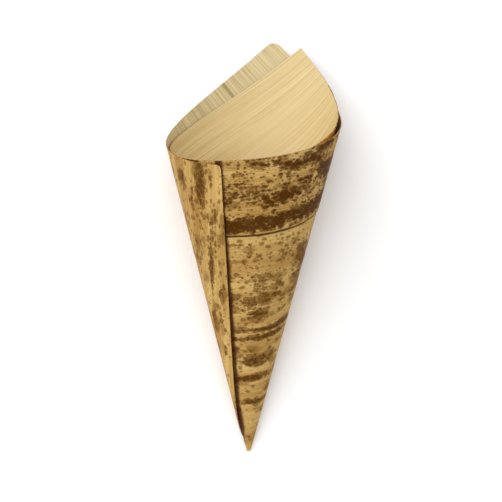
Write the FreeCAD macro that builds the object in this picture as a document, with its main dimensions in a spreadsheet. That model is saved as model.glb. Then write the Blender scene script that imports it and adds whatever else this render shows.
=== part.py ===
import FreeCAD, Part
import Sketcher
import math
import os

# Serving cone for fried food, rolled from dried bamboo sheath.
# Two strips of sheath are lapped and glued into one oblong blank. The blank is rolled up
# askew into almost two turns of a cone, which brings its long edge down the front as the
# glued flap and turns two of its corners into the peaks of the mouth.
# The roll is a chain of quarter turns, each a round cone that is tangent to the one
# before it, so the blank is only bent and nowhere stretched.
# An empty cone can't stand, so it lies on the side that it rolls to by itself, with its
# mouth towards +X and the origin under the middle of it.
document = FreeCAD.newDocument("food_cone")

# Driving dimensions, in millimetres and degrees
SIZES = (
    # The blank along the grain, and its strips across the grain, as distances from the
    # point that it is rolled about
    ("blank_length", 255.0),
    ("seam_distance", 102.0),
    ("lap_width", 6.0),
    ("rim_strip_width", 31.2),
    ("sheath_thickness", 0.4),
    ("flap_corner_radius", 2.0),
    ("peak_corner_radius", 4.0),
    # The roll centre's distance from the flap end, how far askew of the grain the long
    # edge that it lies beside is cut, and the pinhole that the roll leaves at its point
    ("centre_from_flap_end", 132.0),
    ("long_edge_skew", 2.8),
    ("tip_bore_radius", 0.24),
    # The cone: its half-angle, how much more or less the flat and the tight quarters of
    # its oval have, and how far round from the flap's ray the first tight one is centred
    ("half_angle", 13.9),
    ("oval_spread", 2.36),
    ("oval_direction", 74.5),
    # The air between one turn and the next: between single turns at the pointed end, and
    # between lapped ones at the mouth
    ("turn_gap_at_tip", 0.1),
    ("turn_gap_at_mouth", 0.56),
    # How far round from the flap's ray the line is that it lies on
    ("resting_side", 178.5),
)
sheet = document.addObject("Spreadsheet::Sheet", "Sizes")
for row, (alias, value) in enumerate(SIZES, start=1):
    sheet.set("A%d" % row, alias)
    sheet.set("B%d" % row, repr(value))
    sheet.setAlias("B%d" % row, alias)
document.recompute()

QUARTER_TURN = math.pi / 2
FULL_TURN = 2 * math.pi
QUARTERS = 4
CURVE_STEP = math.radians(5.0)
CORNER_POINTS = 9
SAME_ANGLE = 1e-7
SEWING_GAP = 1e-3
CENTRE = FreeCAD.Vector(0, 0, 0)
Y_AXIS = FreeCAD.Vector(0, 1, 0)
Z_AXIS = FreeCAD.Vector(0, 0, 1)


def size(alias):
    return float(sheet.get(alias))


def turn(axis, angle, move=CENTRE):
    """Placement that turns by an angle in radians about an axis, and moves."""
    return FreeCAD.Placement(move, FreeCAD.Rotation(axis, math.degrees(angle)))


# The flat strips

# Edges of a strip's sketch in the order that they are drawn, and the points of an edge
NEAR_EDGE, INNER_END, FAR_EDGE, FLAP_END, CORNER = range(5)
START, END = range(1, 3)
ORIGIN = (-1, START)


def flat_strip(name, near, skew, far, radius, rounded):
    """Sketch of one strip as it is cut, seen from outside the cone. The origin is the roll
    centre, the grain runs up, and the flap end is at the top. One corner of that end is
    rounded, where it meets the edge named. The measures are expressions on the sheet."""
    sketch = document.addObject("Sketcher::SketchObject", name)
    top = size("centre_from_flap_end")
    bottom = top - size("blank_length")
    left, right, bend = (float(sketch.evalExpression(text)) for text in (far, near, radius))
    left, right = -left, -right
    lines = {
        NEAR_EDGE: [(right, top), (right, bottom)],
        INNER_END: [(right, bottom), (left, bottom)],
        FAR_EDGE: [(left, bottom), (left, top)],
        FLAP_END: [(left, top), (right, top)],
    }
    rule = Sketcher.Constraint
    rules = [
        rule("Coincident", NEAR_EDGE, END, INNER_END, START),
        rule("Coincident", INNER_END, END, FAR_EDGE, START),
        rule("Horizontal", INNER_END),
        rule("Horizontal", FLAP_END),
        rule("Vertical", FAR_EDGE),
    ]
    if rounded == FAR_EDGE:
        lines[FAR_EDGE][1] = (left, top - bend)
        lines[FLAP_END][0] = (left + bend, top)
        centre, first_angle = (left + bend, top - bend), QUARTER_TURN
        rules.append(rule("Tangent", FAR_EDGE, END, CORNER, END))
        rules.append(rule("Tangent", FLAP_END, START, CORNER, START))
        rules.append(rule("Coincident", FLAP_END, END, NEAR_EDGE, START))
    else:
        lines[NEAR_EDGE][0] = (right, top - bend)
        lines[FLAP_END][1] = (right - bend, top)
        centre, first_angle = (right - bend, top - bend), 0.0
        rules.append(rule("Tangent", NEAR_EDGE, START, CORNER, START))
        rules.append(rule("Tangent", FLAP_END, END, CORNER, END))
        rules.append(rule("Coincident", FAR_EDGE, END, FLAP_END, START))
    for start, end in lines.values():
        sketch.addGeometry(Part.LineSegment(FreeCAD.Vector(*start, 0), FreeCAD.Vector(*end, 0)), False)
    circle = Part.Circle(FreeCAD.Vector(*centre, 0), Z_AXIS, bend)
    sketch.addGeometry(Part.ArcOfCircle(circle, first_angle, first_angle + QUARTER_TURN), False)
    sketch.addConstraint(rules)

    length = top - bottom
    measures = (
        ("flap_end", rule("DistanceY", *ORIGIN, FLAP_END, START, top), "Sizes.centre_from_flap_end"),
        ("length", rule("DistanceY", INNER_END, END, FLAP_END, START, length), "Sizes.blank_length"),
        ("far", rule("DistanceX", FAR_EDGE, START, *ORIGIN, -left), far),
        ("near", rule("Distance", *ORIGIN, NEAR_EDGE, -right), near),
        ("skew", rule("Angle", NEAR_EDGE, -QUARTER_TURN), skew + " * 1 deg - 90 deg"),
        ("corner", rule("Radius", CORNER, bend), radius),
    )
    for label, measure, expression in measures:
        sketch.renameConstraint(sketch.addConstraint(measure), label)
        sketch.setExpression("Constraints." + label, expression)
    return sketch


# The wide strip has the flap's edge. Its long edge stays clear of the roll centre by the
# pinhole, the turn around it and the air between that and the next turn.
cone_blank = flat_strip(
    "cone_strip_flat",
    near="(Sizes.tip_bore_radius + 2 * Sizes.sheath_thickness + Sizes.turn_gap_at_tip)"
    " / sin(Sizes.half_angle * 1 deg)",
    skew="Sizes.long_edge_skew",
    far="Sizes.seam_distance + Sizes.lap_width",
    radius="Sizes.flap_corner_radius",
    rounded=NEAR_EDGE,
)
# The narrow strip runs along the mouth, outside the wide one, and has the rear peak
rim_blank = flat_strip(
    "rim_strip_flat",
    near="Sizes.seam_distance",
    skew="0",
    far="Sizes.seam_distance + Sizes.rim_strip_width",
    radius="Sizes.peak_corner_radius",
    rounded=FAR_EDGE,
)
document.recompute()


# The roll


def flat_ray(angle):
    """Direction in the flat blank, at an angle left of the grain."""
    return FreeCAD.Vector(-math.sin(angle), math.cos(angle), 0)


class QuarterTurn:
    """One cone of the chain, bent from a sector of the flat blank. In its own frame the
    cone has its point at the origin, its axis along Z and its last generator above X."""

    def __init__(self, first_generator, half_angle, span, flat_point, flat_start):
        self.placement = first_generator * turn(Z_AXIS, -span)
        self.half_angle = half_angle
        self.span = span
        self.flat_point = flat_point
        self.flat_start = flat_start
        self.flat_end = flat_start + span * math.sin(half_angle)

    def generator(self):
        return FreeCAD.Vector(math.sin(self.half_angle), 0, math.cos(self.half_angle))

    def flat_angle(self, point):
        ray = point - self.flat_point
        angle = math.atan2(-ray.x, ray.y)
        return angle if angle > self.flat_start - QUARTER_TURN else angle + FULL_TURN

    def sector(self, reach):
        corners = [self.flat_point]
        for angle in (self.flat_start, self.flat_end):
            corners.append(self.flat_point + flat_ray(angle) * reach)
        return Part.Face(Part.makePolygon(corners + corners[:1]))

    def wrap(self, point, depth):
        """A point of the blank on the cone, on the surface at a depth inside the glue
        line: its angle back from the last generator, and its distance from the point."""
        around = (self.flat_end - self.flat_angle(point)) / math.sin(self.half_angle)
        along = (point - self.flat_point).Length - depth / math.tan(self.half_angle)
        return FreeCAD.Base.Vector2d(around, along)

    def wrap_heading(self, point, heading):
        """How the two change for each millimetre that the point moves along a heading."""
        ray = point - self.flat_point
        turning = ray.cross(heading).z / ray.dot(ray)
        return FreeCAD.Base.Vector2d(-turning / math.sin(self.half_angle), ray.dot(heading) / ray.Length)


def rolled_quarters(last_point):
    """The chain of cones from the flap's ray to the blank's last point. Each next cone is
    tangent to the one before along that one's last generator. It is narrower, and its own
    point lies a little way up that generator, so the turns run inside each other."""
    thickness = size("sheath_thickness")
    step_at_tip = thickness + size("turn_gap_at_tip")
    step_at_mouth = 2 * thickness + size("turn_gap_at_mouth")
    narrowing = (step_at_mouth - step_at_tip) / size("centre_from_flap_end") / QUARTERS
    middle_angle = math.radians(size("half_angle"))
    spread = math.radians(size("oval_spread"))
    # what is left of a flat quarter before the first tight one begins
    span = math.radians(size("oval_direction")) - QUARTER_TURN / 2
    quarters = [QuarterTurn(FreeCAD.Placement(), middle_angle + spread, span, CENTRE, 0.0)]
    while quarters[-1].flat_end < quarters[-1].flat_angle(last_point):
        before = quarters[-1]
        spread = -spread
        half_angle = middle_angle + spread - narrowing * len(quarters)
        rise = step_at_tip / QUARTERS / math.sin(half_angle)
        tangent = turn(Y_AXIS, before.half_angle - half_angle, before.generator() * rise)
        flat_point = before.flat_point + flat_ray(before.flat_end) * rise
        first_generator = before.placement * tangent
        quarters.append(QuarterTurn(first_generator, half_angle, QUARTER_TURN, flat_point, before.flat_end))
    return quarters


def wrapped_line(edge, quarter, depth):
    """A straight edge of the blank on the cone, through points with their headings. They
    are close together where the edge passes the cone's point, and grow apart from there
    as the bend of the sheet eases."""
    start, end = (vertex.Point for vertex in edge.Vertexes)
    heading = (end - start).normalize()
    foot = start + heading * (quarter.flat_point - start).dot(heading)
    off_centre = (foot - quarter.flat_point).Length
    first, last = (math.asinh((point - foot).dot(heading) / off_centre) for point in (start, end))
    steps = max(3, math.ceil((last - first) / CURVE_STEP))
    bend = (last - first) / steps
    places = [off_centre * math.sinh(first + bend * step) for step in range(steps + 1)]
    poles = []
    for before, place, after in zip(places[:1] + places, places, places[1:] + places[-1:]):
        point = foot + heading * place
        wrapped, onward = quarter.wrap(point, depth), quarter.wrap_heading(point, heading)
        poles.append(wrapped - onward * ((place - before) / 3))
        poles.append(wrapped + onward * ((after - place) / 3))
    curve = Part.Geom2d.BSplineCurve2d()
    curve.buildFromPolesMultsKnots(poles, [4] + [2] * (steps - 1) + [4], places, False, 3)
    return curve


def wrapped_edge(edge, quarter, depth, cone):
    """An edge of the blank on the cone, and whether it is cut there. The others are only
    the straight lines where one quarter turn meets the next."""
    start, end = (quarter.wrap(vertex.Point, depth) for vertex in edge.Vertexes)
    if abs(start.x - end.x) < SAME_ANGLE:
        return Part.Geom2d.Line2dSegment(start, end).toShape(cone), False
    if isinstance(edge.Curve, Part.Line):
        return wrapped_line(edge, quarter, depth).toShape(cone), True
    curve = Part.Geom2d.BSplineCurve2d()
    curve.interpolate([quarter.wrap(point, depth) for point in edge.discretize(Number=CORNER_POINTS)])
    return curve.toShape(cone), True


def rolled_strip(blank, quarters, outer_depth, inner_depth):
    """Solid of one strip, between two depths inside the glue line. Every quarter turn
    gives it an outer and an inner conical face, and a band of wall at each cut edge."""
    flat = Part.Face(blank.Shape)
    reach = flat.BoundBox.DiagonalLength * 2
    faces = []
    for quarter in quarters:
        cone_height = reach * math.cos(quarter.half_angle)
        cone_radius = reach * math.sin(quarter.half_angle)
        cone = Part.makeCone(0, cone_radius, cone_height).Faces[0].Surface
        for piece in flat.common(quarter.sector(reach)).Faces:
            outlines = []
            for depth in (outer_depth, inner_depth):
                inset = Z_AXIS * (depth / math.sin(quarter.half_angle))
                place = quarter.placement * FreeCAD.Placement(inset, FreeCAD.Rotation())
                outline = [wrapped_edge(edge, quarter, depth, cone) for edge in piece.OuterWire.OrderedEdges]
                face = Part.Face(cone, Part.Wire([curve for curve, is_cut in outline]))
                face.Placement = place
                faces.append(face)
                for curve, is_cut in outline:
                    curve.Placement = place
                outlines.append(outline)
            for (outer, is_cut), (inner, _) in zip(*outlines):
                if is_cut:
                    faces.append(Part.makeRuledSurface(outer, inner))
    shell = Part.Shell(faces)
    shell.sewShape(SEWING_GAP)
    solid = Part.Solid(shell)
    if solid.Volume < 0:
        solid.reverse()
    return solid


def lying_down(quarters):
    """Placement that puts the generator on the resting side along +X on the floor. The
    wide strip's surface ends at the seam, where the rim strip stands proud of it, so the
    cone leans on that edge and on its point."""
    resting = math.radians(size("resting_side"))
    turned = 0.0
    for quarter in quarters:
        turned += quarter.span
        if turned >= resting:
            break
    ahead = turned - resting
    generator_frame = quarter.placement * turn(Z_AXIS, ahead)
    flat_angle = quarter.flat_end - ahead * math.sin(quarter.half_angle)
    lean = math.atan(size("sheath_thickness") / (size("seam_distance") / math.sin(flat_angle)))
    return turn(Y_AXIS, QUARTER_TURN - quarter.half_angle - lean) * generator_frame.inverse()


last_corner = cone_blank.Shape.Edges[NEAR_EDGE].Vertexes[1].Point
quarters = rolled_quarters(last_corner)
thickness = size("sheath_thickness")

# The two strips meet face to face at the glue line, the rim strip outside it
cone_strip = document.addObject("Part::Feature", "cone_strip")
cone_strip.Label = "cone_strip"
cone_strip.Shape = rolled_strip(cone_blank, quarters, 0.0, thickness)

rim_strip = document.addObject("Part::Feature", "rim_strip")
rim_strip.Label = "rim_strip"
rim_strip.Shape = rolled_strip(rim_blank, quarters, -thickness, 0.0)

strips = [cone_strip, rim_strip]
lying = lying_down(quarters)
laid = Part.Compound([strip.Shape for strip in strips])
laid.Placement = lying
box = laid.optimalBoundingBox(False, False)
lying.Base = lying.Base - FreeCAD.Vector(box.Center.x, box.Center.y, box.ZMin)
for strip in strips:
    strip.Placement = lying
document.recompute()

# Checks and export
faults = [item.Label for item in document.Objects if {"Invalid", "Error"} & set(item.State)]
for strip in strips:
    if strip.Shape.isNull() or not strip.Shape.isValid() or len(strip.Shape.Solids) != 1:
        faults.append(strip.Label)
if faults:
    raise RuntimeError("not built: " + ", ".join(faults))
os.makedirs("parts", exist_ok=True)
for strip in strips:
    strip.Shape.exportStep("parts/%s.step" % strip.Label)
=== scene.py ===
import bmesh
import bpy
import math
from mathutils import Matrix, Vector


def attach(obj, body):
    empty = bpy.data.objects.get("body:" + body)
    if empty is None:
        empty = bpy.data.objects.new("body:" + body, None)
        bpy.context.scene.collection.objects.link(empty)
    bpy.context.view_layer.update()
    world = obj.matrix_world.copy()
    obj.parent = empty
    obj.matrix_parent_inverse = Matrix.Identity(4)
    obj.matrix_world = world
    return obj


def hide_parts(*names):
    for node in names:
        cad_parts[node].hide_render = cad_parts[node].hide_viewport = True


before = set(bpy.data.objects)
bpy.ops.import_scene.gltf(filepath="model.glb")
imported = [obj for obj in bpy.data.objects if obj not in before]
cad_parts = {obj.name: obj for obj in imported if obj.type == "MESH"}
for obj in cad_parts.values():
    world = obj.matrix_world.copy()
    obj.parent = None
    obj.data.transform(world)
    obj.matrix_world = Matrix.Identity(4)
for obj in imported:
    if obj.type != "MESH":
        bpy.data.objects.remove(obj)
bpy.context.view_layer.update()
bpy.context.scene.view_settings.view_transform = "Standard"

# ---- The wide strip of sheath
# Dried culm sheath of bamboo, pressed flat and cut to an oblong. Its long edge is the
# glued flap, and it makes the whole cone below the mouth: it is rolled about a point
# beside that edge, into almost two turns of an oval cone.

# Sizes are in millimetres. The flat sheet is drawn from the roll centre, with its grain along
# Y and its X below zero. A distance is how far a place is from there across the grain.
MM = 0.001
FLAP_END = 131.95
INNER_END = -122.95
FLAP_EDGE_DISTANCE = 4.8
FLAP_EDGE_SKEW = math.radians(2.8)
WIDE_STRIP_EDGE = -107.95
FLAP_CORNER_RADIUS = 2.0
OUTER_SKIN = -0.02
INNER_SKIN = -0.38
RAY_STEP = math.radians(0.75)
ROWS = 30
CREASE_ANGLE = 0.5
MERGE_DISTANCE = 1e-7
PARALLEL = 1e-9
ROUNDING = 1e-6


def add(tree, kind, inputs=None, **settings):
    """Adds a node with its settings, and its inputs by name or number: values or sockets."""
    node = tree.nodes.new(kind)
    for name, value in settings.items():
        setattr(node, name, value)
    for key, value in (inputs or {}).items():
        if isinstance(value, bpy.types.NodeSocket):
            tree.links.new(value, node.inputs[key])
        else:
            node.inputs[key].default_value = value
    return node


def rounded_corner(before, corner, after, radius, points=7):
    """Points of the arc that takes off a corner of a flat outline."""
    inward, outward = (before - corner).normalized(), (after - corner).normalized()
    half = inward.angle(outward) / 2
    centre = corner + (inward + outward).normalized() * (radius / math.sin(half))
    first = corner + inward * (radius / math.tan(half)) - centre
    last = corner + outward * (radius / math.tan(half)) - centre
    shares = [step / (points - 1) for step in range(points)]
    return [centre + first.slerp(last, share).normalized() * radius for share in shares]


def flat_strip(name, outline, outer, inner):
    """Closed slab of sheath lying flat, between the heights of its outer and inner face. Its
    faces follow the rays from the roll centre, because the sheet bends along those."""
    def ray_angle(point):
        angle = math.atan2(-point.x, point.y)
        return angle if angle > -math.pi / 2 else angle + 2 * math.pi

    corners = sorted(ray_angle(point) for point in outline)
    angles = []
    for start, end in zip(corners, corners[1:]):
        steps = max(1, round((end - start) / RAY_STEP))
        if end - start > ROUNDING:
            angles += [start + (end - start) * step / steps for step in range(steps)]
    angles.append(corners[-1])

    sheet = bmesh.new()
    columns = []
    for angle in angles:
        ray = Vector((-math.sin(angle), math.cos(angle)))
        reaches = []
        for start, end in zip(outline, outline[1:] + outline[:1]):
            side, across = end - start, ray.orthogonal()
            if abs(side.dot(across)) < PARALLEL:
                continue
            along = -start.dot(across) / side.dot(across)
            if -ROUNDING <= along <= 1 + ROUNDING:
                reaches.append((start + side * along).dot(ray))
        near, far = min(reaches), max(reaches)
        column = []
        for height in (outer, inner):
            points = [ray * (near + (far - near) * row / ROWS) for row in range(ROWS + 1)]
            column.append([sheet.verts.new((p.x * MM, p.y * MM, height * MM)) for p in points])
        columns.append(column)
    for (top, under), (next_top, next_under) in zip(columns, columns[1:]):
        for row in range(ROWS):
            sheet.faces.new((top[row], top[row + 1], next_top[row + 1], next_top[row]))
            sheet.faces.new((under[row], next_under[row], next_under[row + 1], under[row + 1]))
        sheet.faces.new((top[0], next_top[0], next_under[0], under[0]))
        sheet.faces.new((top[-1], under[-1], next_under[-1], next_top[-1]))
    bmesh.ops.remove_doubles(sheet, verts=sheet.verts, dist=MERGE_DISTANCE)
    bmesh.ops.recalc_face_normals(sheet, faces=sheet.faces)
    sheet.normal_update()
    for face in sheet.faces:
        face.smooth = True
    for edge in sheet.edges:
        edge.smooth = edge.calc_face_angle(math.pi) < CREASE_ANGLE
    mesh = bpy.data.meshes.new(name)
    sheet.to_mesh(mesh)
    sheet.free()
    # Each point keeps its place on the flat sheet, for the patterns of the materials
    flat = mesh.attributes.new("flat", "FLOAT_VECTOR", "POINT")
    for vertex in mesh.vertices:
        flat.data[vertex.index].vector = vertex.co
    piece = bpy.data.objects.new(name, mesh)
    bpy.context.scene.collection.objects.link(piece)
    return piece


# The roll is a chain of quarter turns. Each is a round cone that touches the last one all
# along a line, so the sheet is only bent. Wide and narrow quarters take turns, which makes
# the oval, and each starts a little higher and narrower, which winds the sheet inwards.
# The steps are from one turn to the next, with the thickness of the sheath included.
QUARTERS_A_TURN = 4
STEP_AT_TIP = 0.5
STEP_AT_MOUTH = 1.36
MOUTH_DISTANCE = 132
ROLL = {
    "Half angle": math.radians(13.9),
    "Oval spread": math.radians(2.36),
    "First span": math.radians(29.5),
    "Rise per quarter": STEP_AT_TIP / QUARTERS_A_TURN * MM,
    "Narrowing": (STEP_AT_MOUTH - STEP_AT_TIP) / MOUTH_DISTANCE / QUARTERS_A_TURN,
    "Quarters": 10,
}
# How the finished roll is turned and moved to lie on its back, with its mouth towards +X
LYING = {
    "Lying place": (-95.51 * MM, -0.7323 * MM, -0.3083 * MM),
    "Lying turn": (math.radians(11.6936), math.radians(-80.0793), math.radians(169.6269)),
}
SURFACES = ("Outside", "Inside", "Cut edge")

roll = bpy.data.node_groups.new("roll_into_cone", "GeometryNodeTree")
roll.interface.new_socket("Sheet", in_out="INPUT", socket_type="NodeSocketGeometry")
for name in ROLL:
    kind = "NodeSocketInt" if name == "Quarters" else "NodeSocketFloat"
    roll.interface.new_socket(name, in_out="INPUT", socket_type=kind)
roll.interface.new_socket("Lying place", in_out="INPUT", socket_type="NodeSocketVector")
roll.interface.new_socket("Lying turn", in_out="INPUT", socket_type="NodeSocketRotation")
for name in SURFACES:
    roll.interface.new_socket(name, in_out="INPUT", socket_type="NodeSocketMaterial")
roll.interface.new_socket("Cone", in_out="OUTPUT", socket_type="NodeSocketGeometry")
given = add(roll, "NodeGroupInput").outputs

# While the sheet is flat, its two faces and its cut edges are told apart by their normals
normal = add(roll, "GeometryNodeInputNormal").outputs[0]
facing = add(roll, "ShaderNodeSeparateXYZ", {0: normal}).outputs[2]
marked = add(roll, "GeometryNodeCaptureAttribute", {0: given["Sheet"]}, domain="FACE")
marked.capture_items.new("FLOAT", "Facing")
roll.links.new(facing, marked.inputs["Facing"])

flat_place = add(
    roll, "GeometryNodeInputNamedAttribute", {0: "flat"}, data_type="FLOAT_VECTOR",
).outputs[0]
height = add(roll, "ShaderNodeSeparateXYZ", {0: flat_place}).outputs[2]
repeat_start = add(roll, "GeometryNodeRepeatInput")
repeat_end = add(roll, "GeometryNodeRepeatOutput")
repeat_start.pair_with_output(repeat_end)
repeat_end.repeat_items.clear()
for kind, name in (
    ("GEOMETRY", "Sheet"), ("MATRIX", "Last line"), ("VECTOR", "Roll centre"),
    ("FLOAT", "Flat angle"), ("FLOAT", "Half angle before"), ("FLOAT", "Quarter"),
):
    repeat_end.repeat_items.new(kind, name)
first_half_angle = add(roll, "ShaderNodeMath", {0: given["Half angle"], 1: given["Oval spread"]})
roll.links.new(given["Quarters"], repeat_start.inputs["Iterations"])
roll.links.new(marked.outputs[0], repeat_start.inputs["Sheet"])
roll.links.new(first_half_angle.outputs[0], repeat_start.inputs["Half angle before"])
state = repeat_start.outputs

# Half angle of this quarter: the first is wide, the next is narrow and so on, and both kinds
# get a little narrower as the roll goes inwards
quarter = state["Quarter"]
flat_angle = state["Flat angle"]
angle_before = state["Half angle before"]
is_narrow = add(roll, "ShaderNodeMath", {0: quarter, 1: 2.0}, operation="MODULO").outputs[0]
sign = add(
    roll, "ShaderNodeMath", {0: is_narrow, 1: -2.0, 2: 1.0}, operation="MULTIPLY_ADD",
).outputs[0]
half_angle = add(
    roll, "ShaderNodeMath", {0: sign, 1: given["Oval spread"], 2: given["Half angle"]},
    operation="MULTIPLY_ADD",
).outputs[0]
narrowed = add(
    roll, "ShaderNodeMath", {0: quarter, 1: given["Narrowing"]}, operation="MULTIPLY",
).outputs[0]
half_angle = add(
    roll, "ShaderNodeMath", {0: half_angle, 1: narrowed}, operation="SUBTRACT",
).outputs[0]
sine = add(roll, "ShaderNodeMath", {0: half_angle}, operation="SINE").outputs[0]
cosine = add(roll, "ShaderNodeMath", {0: half_angle}, operation="COSINE").outputs[0]

# The next cone's point is a little way up the line where it touches the last cone
is_later = add(roll, "ShaderNodeMath", {0: quarter, 1: 0.5}, operation="GREATER_THAN").outputs[0]
rise = add(
    roll, "ShaderNodeMath", {0: given["Rise per quarter"], 1: is_later}, operation="MULTIPLY",
).outputs[0]
rise = add(roll, "ShaderNodeMath", {0: rise, 1: sine}, operation="DIVIDE").outputs[0]
sine_before = add(roll, "ShaderNodeMath", {0: angle_before}, operation="SINE").outputs[0]
cosine_before = add(roll, "ShaderNodeMath", {0: angle_before}, operation="COSINE").outputs[0]
line = add(roll, "ShaderNodeCombineXYZ", {0: sine_before, 2: cosine_before}).outputs[0]
climb = add(roll, "ShaderNodeVectorMath", {0: line, "Scale": rise}, operation="SCALE").outputs[0]
tilt = add(
    roll, "ShaderNodeMath", {0: angle_before, 1: half_angle}, operation="SUBTRACT",
).outputs[0]
tilt = add(roll, "ShaderNodeCombineXYZ", {1: tilt}).outputs[0]
tilt = add(roll, "FunctionNodeEulerToRotation", {0: tilt}).outputs[0]
touching = add(
    roll, "FunctionNodeCombineTransform", {"Translation": climb, "Rotation": tilt},
).outputs[0]
first_line = add(
    roll, "FunctionNodeMatrixMultiply", {0: state["Last line"], 1: touching},
).outputs[0]
flat_sine = add(roll, "ShaderNodeMath", {0: flat_angle}, operation="SINE").outputs[0]
flat_sine = add(roll, "ShaderNodeMath", {0: flat_sine, 1: -1.0}, operation="MULTIPLY").outputs[0]
flat_cosine = add(roll, "ShaderNodeMath", {0: flat_angle}, operation="COSINE").outputs[0]
flat_ray = add(roll, "ShaderNodeCombineXYZ", {0: flat_sine, 1: flat_cosine}).outputs[0]
flat_climb = add(
    roll, "ShaderNodeVectorMath", {0: flat_ray, "Scale": rise}, operation="SCALE",
).outputs[0]
roll_centre = add(
    roll, "ShaderNodeVectorMath", {0: state["Roll centre"], 1: flat_climb}, operation="ADD",
).outputs[0]

# A point's distance from the roll centre is kept along the cone's line, and its angle there
# is wound round the cone's axis
from_centre = add(
    roll, "ShaderNodeVectorMath", {0: flat_place, 1: roll_centre}, operation="SUBTRACT",
).outputs[0]
in_sheet = add(
    roll, "ShaderNodeVectorMath", {0: from_centre, 1: (1.0, 1.0, 0.0)}, operation="MULTIPLY",
).outputs[0]
distance = add(roll, "ShaderNodeVectorMath", {0: in_sheet}, operation="LENGTH").outputs["Value"]
parts = add(roll, "ShaderNodeSeparateXYZ", {0: in_sheet}).outputs
leftwards = add(roll, "ShaderNodeMath", {0: parts[0], 1: -1.0}, operation="MULTIPLY").outputs[0]
angle = add(roll, "ShaderNodeMath", {0: leftwards, 1: parts[1]}, operation="ARCTAN2").outputs[0]
is_wrapped = add(
    roll, "ShaderNodeMath", {0: angle, 1: -math.pi / 2}, operation="LESS_THAN",
).outputs[0]
angle = add(
    roll, "ShaderNodeMath", {0: is_wrapped, 1: 2 * math.pi, 2: angle}, operation="MULTIPLY_ADD",
).outputs[0]
beyond = add(roll, "ShaderNodeMath", {0: angle, 1: flat_angle}, operation="SUBTRACT").outputs[0]
wound = add(roll, "ShaderNodeMath", {0: beyond, 1: sine}, operation="DIVIDE").outputs[0]
wound = add(roll, "ShaderNodeMath", {0: wound, 1: -1.0}, operation="MULTIPLY").outputs[0]
outwards = add(roll, "ShaderNodeMath", {0: height, 1: cosine}, operation="MULTIPLY").outputs[0]
outwards = add(
    roll, "ShaderNodeMath", {0: distance, 1: sine, 2: outwards}, operation="MULTIPLY_ADD",
).outputs[0]
drop = add(roll, "ShaderNodeMath", {0: height, 1: sine}, operation="MULTIPLY").outputs[0]
upwards = add(roll, "ShaderNodeMath", {0: distance, 1: cosine}, operation="MULTIPLY").outputs[0]
upwards = add(roll, "ShaderNodeMath", {0: upwards, 1: drop}, operation="SUBTRACT").outputs[0]
on_cone = add(roll, "ShaderNodeCombineXYZ", {0: outwards, 2: upwards}).outputs[0]
on_cone = add(
    roll, "ShaderNodeVectorRotate", {"Vector": on_cone, "Angle": wound}, rotation_type="Z_AXIS",
).outputs[0]
on_cone = add(roll, "FunctionNodeTransformPoint", {0: on_cone, 1: first_line}).outputs[0]
is_reached = add(
    roll, "FunctionNodeCompare", {0: beyond, 1: -ROUNDING}, operation="GREATER_THAN",
).outputs[0]
bent = add(
    roll, "GeometryNodeSetPosition", {0: state["Sheet"], 1: is_reached, 2: on_cone},
).outputs[0]

# The line where the next quarter starts: after the first span, then a quarter turn further on
span = add(roll, "ShaderNodeMix", {0: is_later, 2: given["First span"], 3: math.pi / 2}).outputs[0]
back = add(roll, "ShaderNodeMath", {0: span, 1: -1.0}, operation="MULTIPLY").outputs[0]
back = add(roll, "ShaderNodeCombineXYZ", {2: back}).outputs[0]
back = add(roll, "FunctionNodeEulerToRotation", {0: back}).outputs[0]
back = add(roll, "FunctionNodeCombineTransform", {"Rotation": back}).outputs[0]
last_line = add(roll, "FunctionNodeMatrixMultiply", {0: first_line, 1: back}).outputs[0]
next_angle = add(
    roll, "ShaderNodeMath", {0: span, 1: sine, 2: flat_angle}, operation="MULTIPLY_ADD",
).outputs[0]
next_quarter = add(roll, "ShaderNodeMath", {0: quarter, 1: 1.0}).outputs[0]
for name, value in (
    ("Sheet", bent), ("Last line", last_line), ("Roll centre", roll_centre),
    ("Flat angle", next_angle), ("Half angle before", half_angle), ("Quarter", next_quarter),
):
    roll.links.new(value, repeat_end.inputs[name])
laid = add(roll, "GeometryNodeTransform", {
    "Geometry": repeat_end.outputs["Sheet"],
    "Translation": given["Lying place"], "Rotation": given["Lying turn"],
})
is_outside = add(
    roll, "FunctionNodeCompare", {0: marked.outputs["Facing"], 1: 0.5}, operation="GREATER_THAN",
).outputs[0]
is_inside = add(
    roll, "FunctionNodeCompare", {0: marked.outputs["Facing"], 1: -0.5}, operation="LESS_THAN",
).outputs[0]
made_real = add(roll, "GeometryNodeRealizeInstances", {0: laid.outputs[0]})
skinned = add(roll, "GeometryNodeSetMaterial", {0: made_real.outputs[0], 2: given["Cut edge"]})
for is_there, surface in ((is_outside, "Outside"), (is_inside, "Inside")):
    skinned = add(
        roll, "GeometryNodeSetMaterial", {0: skinned.outputs[0], 1: is_there, 2: given[surface]},
    )
add(roll, "NodeGroupOutput", {"Cone": skinned.outputs[0]})


def roll_up(piece, *surfaces):
    """Rolls a flat strip into the cone, with its materials: outside, inside and cut edge."""
    modifier = piece.modifiers.new("roll", "NODES")
    modifier.node_group = roll
    for name, value in {**ROLL, **LYING, **dict(zip(SURFACES, surfaces))}.items():
        modifier[roll.interface.items_tree[name].identifier] = value
    depsgraph = bpy.context.evaluated_depsgraph_get()
    rolled = bpy.data.meshes.new_from_object(piece.evaluated_get(depsgraph))
    piece.modifiers.clear()
    piece.data = rolled


def linear(text):
    """Linear colour of an sRGB hex value."""
    channels = [int(text[place:place + 2], 16) / 255 for place in (1, 3, 5)]
    return [c / 12.92 if c <= 0.04045 else ((c + 0.055) / 1.055) ** 2.4 for c in channels] + [1.0]


def pattern_scale(wide, long):
    """Scale that makes a pattern's cell so wide across the grain and so long along it."""
    return (1 / (wide * MM), 1 / (long * MM), 0)


# Dried bamboo culm sheath, outer face: a waxy tan skin over straight fibres, with the brown
# mottling that it grows with. Soft blotches, spots and freckles run along the grain and
# crowd into bands. The eye gets dark marks first, then a fine silky grain.

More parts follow.
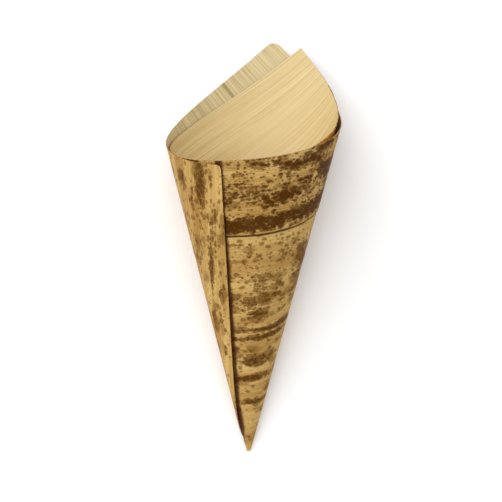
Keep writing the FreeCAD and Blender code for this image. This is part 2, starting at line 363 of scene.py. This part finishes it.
# Single fibres are too fine to show in the render, where a pixel is 0.4 mm, so they are
# drawn half a millimetre wide
FIBRE_CELL = (0.5, 30)
FIBRE_RELIEF = 0.15
STREAK_CELL = (7, 45)
UNEVEN_CELL = (6, 14)
UNEVENNESS = 0.25
# The bands' ramp ends just past the mouth. A mark grows where its cell's chance and the
# crowding come to more than this, and how far its rim wanders and frays is in cells.
BANDED_WIDTH = 134
MARK_FROM = 0.55
MARK_WANDER = 0.9
MARK_FRAY = 0.8
# The flap's edge lies on the turn below along a line that starts this far under the roll
# centre and climbs by this slope. Painted shade, for the shadow under the flap's edge and under
# the seam's step, is dark to the first distance from its line, and has faded out somewhere between
# the next two.
FLAP_LINE_START = 2.1
FLAP_LINE_SLOPE = 0.0185
FLAP_SHADE_DARK, FLAP_SHADE_LEAST, FLAP_SHADE_MOST = 0.8, 1.8, 3.2
SEAM_DISTANCE = 102.0
SEAM_SHADE_DARK, SEAM_SHADE_LEAST, SEAM_SHADE_MOST = 0.3, 0.45, 1.0


def sheath_outside(name, bands, patches, marks, painted_light_patches, seed):
    """Mottled outer face, from tables of its bands, patches and kinds of mark, and a table of
    painted shade and painted glow.
    """
    material = bpy.data.materials.new(name)
    material.use_nodes = True
    tree = material.node_tree
    skin = tree.nodes["Principled BSDF"]
    place = add(tree, "ShaderNodeAttribute", attribute_name="flat").outputs["Vector"]
    across, along, _ = add(tree, "ShaderNodeSeparateXYZ", {0: place}).outputs

    # Fibres, and broad paler and browner streaks
    spread = add(
        tree, "ShaderNodeMapping", {0: place, 1: (seed, 0, 0), 3: pattern_scale(*FIBRE_CELL)},
    )
    fibre = add(
        tree, "ShaderNodeTexNoise", {0: spread.outputs[0], 2: 1.0, 3: 4.0, 4: 0.65},
    ).outputs[0]
    spread = add(
        tree, "ShaderNodeMapping", {0: place, 1: (seed, 7, 0), 3: pattern_scale(*STREAK_CELL)},
    )
    streak = add(tree, "ShaderNodeTexNoise", {0: spread.outputs[0], 2: 1.0, 3: 2.0}).outputs[0]
    tone = add(tree, "ShaderNodeMath", {0: fibre, 1: streak}).outputs[0]
    tone = add(tree, "ShaderNodeMapRange", {0: tone, 1: 0.8, 2: 1.2}).outputs[0]
    colour = add(
        tree, "ShaderNodeMix", {0: tone, 6: linear("#a37a3e"), 7: linear("#ceac69")},
        data_type="RGBA",
    ).outputs[2]

    # How crowded the marks are: by their distance, unevenly, and more or less in some patches
    width = add(
        tree, "ShaderNodeMath", {0: across, 1: -1 / (BANDED_WIDTH * MM)}, operation="MULTIPLY",
    ).outputs[0]
    band = add(tree, "ShaderNodeValToRGB", {0: width})
    stops = band.color_ramp.elements
    while len(stops) > 1:
        stops.remove(stops[-1])
    for number, (distance, crowding) in enumerate(bands):
        stop = stops[0] if number == 0 else stops.new(distance / BANDED_WIDTH)
        stop.position = distance / BANDED_WIDTH
        stop.color = (crowding, crowding, crowding, 1.0)
    spread = add(
        tree, "ShaderNodeMapping", {0: place, 1: (seed, 4, 0), 3: pattern_scale(*UNEVEN_CELL)},
    )
    uneven = add(tree, "ShaderNodeTexNoise", {0: spread.outputs[0], 2: 1.0, 3: 1.0}).outputs[0]
    uneven = add(
        tree, "ShaderNodeMapRange", {0: uneven, 1: 0.3, 2: 0.7, 3: -UNEVENNESS, 4: UNEVENNESS},
    ).outputs[0]
    crowding = add(tree, "ShaderNodeMath", {0: band.outputs[0], 1: uneven}).outputs[0]
    for distance, height, wide, long, more in patches:
        spread = add(tree, "ShaderNodeMapping", {
            0: place, 1: (distance / wide, -height / long, 0), 3: pattern_scale(wide, long),
        })
        patch = add(
            tree, "ShaderNodeTexGradient", {0: spread.outputs[0]}, gradient_type="SPHERICAL",
        ).outputs[1]
        crowding = add(
            tree, "ShaderNodeMath", {0: patch, 1: more, 2: crowding}, operation="MULTIPLY_ADD",
        ).outputs[0]

    # Each size of mark is one to a cell, in as many cells as the crowding allows
    streaky = add(tree, "ShaderNodeMath", {0: fibre, 1: 0.5}, operation="SUBTRACT").outputs[0]
    for wide, long, most, soft, strength, tint in marks:
        spread = add(
            tree, "ShaderNodeMapping", {0: place, 1: (seed, wide, 0), 3: pattern_scale(wide, long)},
        )
        wander = add(
            tree, "ShaderNodeTexNoise", {0: spread.outputs[0], 2: 1.6, 3: 3.0, 4: 0.6},
        ).outputs[1]
        wander = add(
            tree, "ShaderNodeVectorMath",
            {0: wander, 1: (MARK_WANDER, MARK_WANDER, 0.0), 2: spread.outputs[0]},
            operation="MULTIPLY_ADD",
        ).outputs[0]
        cells = add(
            tree, "ShaderNodeTexVoronoi", {0: wander, 2: 1.0}, voronoi_dimensions="2D",
        ).outputs
        chance = add(tree, "ShaderNodeSeparateColor", {0: cells["Color"]}).outputs[0]
        room = add(tree, "ShaderNodeMath", {0: chance, 1: crowding}).outputs[0]
        reach = add(
            tree, "ShaderNodeMath", {0: room, 1: most, 2: -MARK_FROM * most},
            operation="MULTIPLY_ADD",
        ).outputs[0]
        level = add(
            tree, "ShaderNodeMath", {0: reach, 1: cells["Distance"]}, operation="SUBTRACT",
        ).outputs[0]
        level = add(
            tree, "ShaderNodeMath", {0: streaky, 1: MARK_FRAY, 2: level},
            operation="MULTIPLY_ADD",
        ).outputs[0]
        mark = add(
            tree, "ShaderNodeMapRange", {0: level, 2: soft, 4: strength},
            interpolation_type="SMOOTHSTEP",
        ).outputs[0]
        colour = add(
            tree, "ShaderNodeMix", {0: mark, 6: colour, 7: linear(tint)}, data_type="RGBA",
        ).outputs[2]

    # Painted shadow under the flap's edge: a dark band along the line that its edge lies on, for
    # the shade in the gap beneath it
    flap_line = add(
        tree, "ShaderNodeMath", {0: across, 1: FLAP_LINE_SLOPE, 2: FLAP_LINE_START * MM},
        operation="MULTIPLY_ADD",
    ).outputs[0]
    from_flap = add(tree, "ShaderNodeMath", {0: along, 1: flap_line}).outputs[0]
    from_flap = add(tree, "ShaderNodeMath", {0: from_flap}, operation="ABSOLUTE").outputs[0]
    wavy = add(tree, "ShaderNodeMapRange", {
        0: uneven, 1: -UNEVENNESS, 2: UNEVENNESS, 3: FLAP_SHADE_LEAST * MM, 4: FLAP_SHADE_MOST * MM,
    }).outputs[0]
    painted_shade = add(
        tree, "ShaderNodeMapRange", {0: from_flap, 1: wavy, 2: FLAP_SHADE_DARK * MM, 4: 0.92},
        interpolation_type="SMOOTHSTEP",
    ).outputs[0]
    colour = add(
        tree, "ShaderNodeMix", {0: painted_shade, 6: colour, 7: linear("#381503")}, data_type="RGBA",
    ).outputs[2]
    # Painted light: patches of painted shade and of painted glow, from their table
    for distance, height, wide, long, strength, tint in painted_light_patches:
        spread = add(tree, "ShaderNodeMapping", {
            0: place, 1: (distance / wide, -height / long, 0), 3: pattern_scale(wide, long),
        })
        tint_patch = add(
            tree, "ShaderNodeTexGradient", {0: spread.outputs[0]}, gradient_type="SPHERICAL",
        ).outputs[1]
        tint_patch = add(
            tree, "ShaderNodeMapRange", {0: tint_patch, 2: 0.5, 4: strength},
            interpolation_type="SMOOTHSTEP",
        ).outputs[0]
        colour = add(
            tree, "ShaderNodeMix", {0: tint_patch, 6: colour, 7: linear(tint)}, data_type="RGBA",
        ).outputs[2]

    # Painted shadow: a thin dark line at the seam, where the rim strip's edge stands up as a step
    # and shades the wide strip beside it
    from_seam = add(tree, "ShaderNodeMath", {0: across, 1: SEAM_DISTANCE * MM}).outputs[0]
    from_seam = add(tree, "ShaderNodeMath", {0: from_seam}, operation="ABSOLUTE").outputs[0]
    wavy = add(tree, "ShaderNodeMapRange", {
        0: uneven, 1: -0.2, 2: 0.2, 3: SEAM_SHADE_LEAST * MM, 4: SEAM_SHADE_MOST * MM,
    }).outputs[0]
    painted_shade = add(
        tree, "ShaderNodeMapRange", {0: from_seam, 1: wavy, 2: SEAM_SHADE_DARK * MM, 4: 0.85},
        interpolation_type="SMOOTHSTEP",
    ).outputs[0]
    colour = add(
        tree, "ShaderNodeMix", {0: painted_shade, 6: colour, 7: linear("#2c1404")}, data_type="RGBA",
    ).outputs[2]
    tree.links.new(colour, skin.inputs["Base Color"])
    relief = add(
        tree, "ShaderNodeBump", {"Height": fibre, "Strength": 0.35, "Distance": FIBRE_RELIEF * MM},
    ).outputs[0]
    tree.links.new(relief, skin.inputs["Normal"])
    skin.inputs["Roughness"].default_value = 0.55
    skin.inputs["Specular IOR Level"].default_value = 0.04
    return material


# Inner face: bare, pale straw-coloured fibre, smooth to the hand. Its veins are fine lines
# along the grain, which stand up as grey ribs towards the flap's end.
VEIN_CELL = (0.55, 80)
TINT_CELL = (5, 160)
RIB_CELL = (0.5, 40)
RIB_RELIEF = 0.2
RIBS_START, RIBS_FULL = 60, 115
# Patches: distance, height along the grain, half width, half length, strength and colour. One
# is a darker olive streak at the lap under the rear peak, and one is a painted glow: warm brown
# light, with the mottled skin showing through the sheath, in the gap at the mouth's side.
INSIDE_STREAK_AND_GLOW = (
    (101.8, 130, 1.2, 14, 0.85, "#94804a"), (131, 62, 7, 26, 0.85, "#7d4d15"),
)
inside = bpy.data.materials.new("sheath_inside")
inside.use_nodes = True
tree = inside.node_tree
bare_fibre = tree.nodes["Principled BSDF"]
place = add(tree, "ShaderNodeAttribute", attribute_name="flat").outputs["Vector"]
spread = add(tree, "ShaderNodeMapping", {0: place, 3: pattern_scale(*VEIN_CELL)})
vein = add(
    tree, "ShaderNodeTexNoise", {0: spread.outputs[0], 2: 1.0, 3: 3.0, 4: 0.65},
).outputs[0]
spread = add(tree, "ShaderNodeMapping", {0: place, 3: pattern_scale(*TINT_CELL)})
streak = add(tree, "ShaderNodeTexNoise", {0: spread.outputs[0], 2: 1.0, 3: 2.0}).outputs[0]
along = add(tree, "ShaderNodeSeparateXYZ", {0: place}).outputs[1]
ribbed = add(
    tree, "ShaderNodeMapRange", {0: along, 1: RIBS_START * MM, 2: RIBS_FULL * MM},
    interpolation_type="SMOOTHSTEP",
).outputs[0]
spread = add(tree, "ShaderNodeMapping", {0: place, 3: pattern_scale(*RIB_CELL)})
rib = add(tree, "ShaderNodeTexNoise", {0: spread.outputs[0], 2: 1.0, 3: 1.0}).outputs[0]
pale = add(tree, "ShaderNodeMapRange", {0: vein, 1: 0.3, 2: 0.62}).outputs[0]
colour = add(
    tree, "ShaderNodeMix", {0: pale, 6: linear("#c3a76b"), 7: linear("#dcc793")},
    data_type="RGBA",
).outputs[2]
tinted = add(tree, "ShaderNodeMapRange", {0: streak, 1: 0.5, 2: 0.7, 4: 0.35}).outputs[0]
colour = add(
    tree, "ShaderNodeMix", {0: tinted, 6: colour, 7: linear("#c3a262")}, data_type="RGBA",
).outputs[2]
grey = add(tree, "ShaderNodeMapRange", {0: rib, 1: 0.35, 2: 0.6}).outputs[0]
greyed = add(
    tree, "ShaderNodeMix", {0: grey, 6: linear("#b49f72"), 7: linear("#d6c392")},
    data_type="RGBA",
).outputs[2]
colour = add(
    tree, "ShaderNodeMix", {0: ribbed, 6: colour, 7: greyed}, data_type="RGBA",
).outputs[2]
# A darker streak at the lap, and painted glow of light through the sheath at the mouth's side
for distance, height, wide, long, strength, tint in INSIDE_STREAK_AND_GLOW:
    spread = add(tree, "ShaderNodeMapping", {
        0: place, 1: (distance / wide, -height / long, 0), 3: pattern_scale(wide, long),
    })
    tint_patch = add(
        tree, "ShaderNodeTexGradient", {0: spread.outputs[0]}, gradient_type="SPHERICAL",
    ).outputs[1]
    tint_patch = add(tree, "ShaderNodeMapRange", {0: tint_patch, 2: 0.7, 4: strength}).outputs[0]
    colour = add(
        tree, "ShaderNodeMix", {0: tint_patch, 6: colour, 7: linear(tint)}, data_type="RGBA",
    ).outputs[2]
tree.links.new(colour, bare_fibre.inputs["Base Color"])
relief = add(
    tree, "ShaderNodeBump", {"Height": rib, "Strength": 0.4, "Distance": RIB_RELIEF * MM},
).outputs[0]
tree.links.new(relief, bare_fibre.inputs["Normal"])
bare_fibre.inputs["Roughness"].default_value = 0.6

# Cut edge: matt golden fibre ends, brown where the blade met mottled skin. Single ends are
# too fine to show, so the two colours come in patches of this size.
CUT_EDGE_CELL = 1.2
cut_edge = bpy.data.materials.new("sheath_cut_edge")
cut_edge.use_nodes = True
tree = cut_edge.node_tree
fibre_ends = tree.nodes["Principled BSDF"]
place = add(tree, "ShaderNodeAttribute", attribute_name="flat").outputs["Vector"]
ends = add(tree, "ShaderNodeTexNoise", {0: place, 2: 1 / (CUT_EDGE_CELL * MM), 3: 2.0}).outputs[0]
golden = add(tree, "ShaderNodeMapRange", {0: ends, 1: 0.42, 2: 0.6}).outputs[0]
colour = add(
    tree, "ShaderNodeMix", {0: golden, 6: linear("#70431a"), 7: linear("#bd9147")},
    data_type="RGBA",
).outputs[2]
tree.links.new(colour, fibre_ends.inputs["Base Color"])
fibre_ends.inputs["Roughness"].default_value = 0.8

# Bands: distance in millimetres, and how crowded the marks are there.
# Patches: distance, height along the grain, half width, half length, how much more crowded.
# Marks: cell across and along the grain, the most of its cell that a mark fills, how soft
# its rim is, how strong it is, and its tint. They are blotches, spots and freckles.
# Painted light, in the columns of the inner face's table. One is painted shade near the tip, for
# the shadowed gap under the flap's edge, and one is a painted glow: the amber of light that comes
# through the sheath in the gap at the mouth's side.
BANDS = (
    (4, -0.2), (11, 0.35), (20, 0.35), (27, 0.25), (35, 0.3), (42, 0.3), (53, 0.3), (64, 0.4),
    (73, 0.6), (82, 0.55), (92, 0.52), (100, 0.42),
)
PATCHES = (
    (40, 124, 2.4, 13, 1.0), (38, 98, 2.2, 16, 0.8), (20.3, 123, 3, 22, 1.35),
    (15.3, 126, 1.4, 5, 1.0), (15, 111, 2.8, 7, 0.9), (25, 117, 2.8, 9, 0.7),
    (30, 124, 2, 10, 1.1), (16, 88, 1.6, 15, 1.2), (27, 92, 7, 12, 0.5),
    (16, 64, 2.8, 8, 0.8), (12, 80, 3, 22, 0.4), (60.8, 17, 1.8, 20, 1.8),
    (57.3, 10, 1.9, 19, 1.8), (46.8, 9, 3.8, 16, 1.4), (39.2, 7, 2.2, 15, 1.5),
    (28, 6, 1.8, 11, 1.5), (32, 12, 3, 4, 0.9), (68.3, 10, 2.6, 7, 1.2),
    (75, 15, 6, 12, 0.4), (83, 14, 4, 13, 0.5), (91, 24, 4, 5, 0.5),
    (86, 36, 8, 8, 0.5), (99, 16, 4, 12, -0.3),
)
MARKS = (
    (4.2, 8.5, 0.82, 0.42, 0.62, "#6b4612"), (1.8, 2.9, 0.74, 0.3, 0.66, "#5c370a"),
    (1.1, 1.5, 0.42, 0.28, 0.7, "#4b2a03"),
)
PAINTED_SHADE_AND_GLOW = ((17, -1.2, 13, 3, 0.9, "#3d1704"), (67, -119, 10, 12, 0.95, "#e0992f"))
outside = sheath_outside("sheath_outside", BANDS, PATCHES, MARKS, PAINTED_SHADE_AND_GLOW, 0.0)


def edge_point(distance, skew, y):
    """Where a long edge, at a distance from the roll centre and cut askew, is at a height."""
    return Vector((-(distance + y * math.sin(skew)) / math.cos(skew), y))


flap_corner = edge_point(FLAP_EDGE_DISTANCE, FLAP_EDGE_SKEW, FLAP_END)
flap_foot = edge_point(FLAP_EDGE_DISTANCE, FLAP_EDGE_SKEW, INNER_END)
seam_corner = Vector((WIDE_STRIP_EDGE, FLAP_END))
seam_foot = Vector((WIDE_STRIP_EDGE, INNER_END))
cone_outline = rounded_corner(seam_corner, flap_corner, flap_foot, FLAP_CORNER_RADIUS)
cone_outline += [flap_foot, seam_foot, seam_corner]
cone_strip = flat_strip("cone_sheath", cone_outline, OUTER_SKIN, INNER_SKIN)
roll_up(cone_strip, outside, inside, cut_edge)
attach(cone_strip, "root")
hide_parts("cone_strip")

# ---- The rim strip of sheath
# A narrow strip of darker sheath, glued over the wide one's edge with a lap of 6 mm. It
# runs along the mouth and has both peaks, one of them rounded.
RIM_NEAR_EDGE = -102.05
RIM_FAR_EDGE = -133.15
REAR_PEAK_RADIUS = 4.0
RIM_OUTER_SKIN = 0.38
RIM_INNER_SKIN = 0.02
RIM_SEED = 40.0
rim_corner = Vector((RIM_FAR_EDGE, FLAP_END))
rim_start = Vector((RIM_NEAR_EDGE, FLAP_END))
rim_foot = Vector((RIM_FAR_EDGE, INNER_END))
rim_outline = rounded_corner(rim_foot, rim_corner, rim_start, REAR_PEAK_RADIUS)
rim_outline += [rim_start, Vector((RIM_NEAR_EDGE, INNER_END)), rim_foot]
rim_strip = flat_strip("rim_sheath", rim_outline, RIM_OUTER_SKIN, RIM_INNER_SKIN)

# The same skin from a darker part of the culm, with the marks crowded above the seam
RIM_BANDS = (
    (102, 0.3), (103, 0.6), (104.5, 0.9), (109, 0.85), (111.5, 0.45), (116, 0.7), (121, 0.68),
    (127, 0.5), (131, 0.58), (133, 0.6),
)
RIM_PATCHES = (
    (107, 6, 4.5, 30, 0.9), (108, 40, 4.5, 18, 1.0), (116, 26, 4, 12, 0.9),
    (128.5, 36, 3.4, 15, 1.2), (121, 50, 6, 9, 1.0), (130.3, 19, 2, 13, 0.8),
    (132, 49, 3, 14, 1.0), (133, 3, 3, 8, -0.5), (120, 17, 5, 12, 0.3),
    (111.5, 25, 3, 5, -0.4),
)
RIM_MARKS = (
    (2.9, 5.4, 0.7, 0.4, 0.62, "#6c420a"), (2.0, 3.0, 0.6, 0.34, 0.82, "#4c2900"),
    (1.4, 2.1, 0.58, 0.3, 0.75, "#4d2900"), (0.9, 1.2, 0.4, 0.25, 0.6, "#442600"),
)
rim_outside = sheath_outside(
    "sheath_outside_rim", RIM_BANDS, RIM_PATCHES, RIM_MARKS, (), RIM_SEED,
)
roll_up(rim_strip, rim_outside, inside, cut_edge)
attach(rim_strip, "root")
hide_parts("rim_strip")

# ---- The table, the lamps and the camera
# A plain white table in a pale room. A large soft lamp hangs above it, towards the top left
# of the picture. The camera looks almost straight down, with the mouth at the picture's top.
bpy.ops.mesh.primitive_plane_add(size=4.0)
floor = bpy.context.object
floor.name = "floor"
table_top = bpy.data.materials.new("white_table")
table_top.use_nodes = True
table_paint = table_top.node_tree.nodes["Principled BSDF"]
table_paint.inputs["Base Color"].default_value = linear("#ffffff")
table_paint.inputs["Roughness"].default_value = 0.8
floor.data.materials.append(table_top)

lamp = bpy.data.lights.new("window", "AREA")
lamp.energy = 9.1
lamp.size = 1.4
lamp_holder = bpy.data.objects.new("window", lamp)
bpy.context.scene.collection.objects.link(lamp_holder)
lamp_holder.location = (0.3, 0.45, 0.85)
lamp_holder.rotation_euler = (-lamp_holder.location).to_track_quat("-Z", "Y").to_euler()

world = bpy.data.worlds.new("room")
bpy.context.scene.world = world
world.use_nodes = True
room_light = world.node_tree.nodes["Background"]
room_light.inputs["Color"].default_value = (1.0, 1.0, 1.0, 1.0)
room_light.inputs["Strength"].default_value = 0.71

camera = bpy.data.cameras.new("camera")
camera.lens = 72.19
camera.sensor_width = 36.0
camera_holder = bpy.data.objects.new("camera", camera)
bpy.context.scene.collection.objects.link(camera_holder)
camera_holder.location = (-0.050065, 0.026702, 0.439585)
camera_holder.rotation_euler = (math.radians(5.97), math.radians(-3.657), math.radians(-89.41))
bpy.context.scene.camera = camera_holder
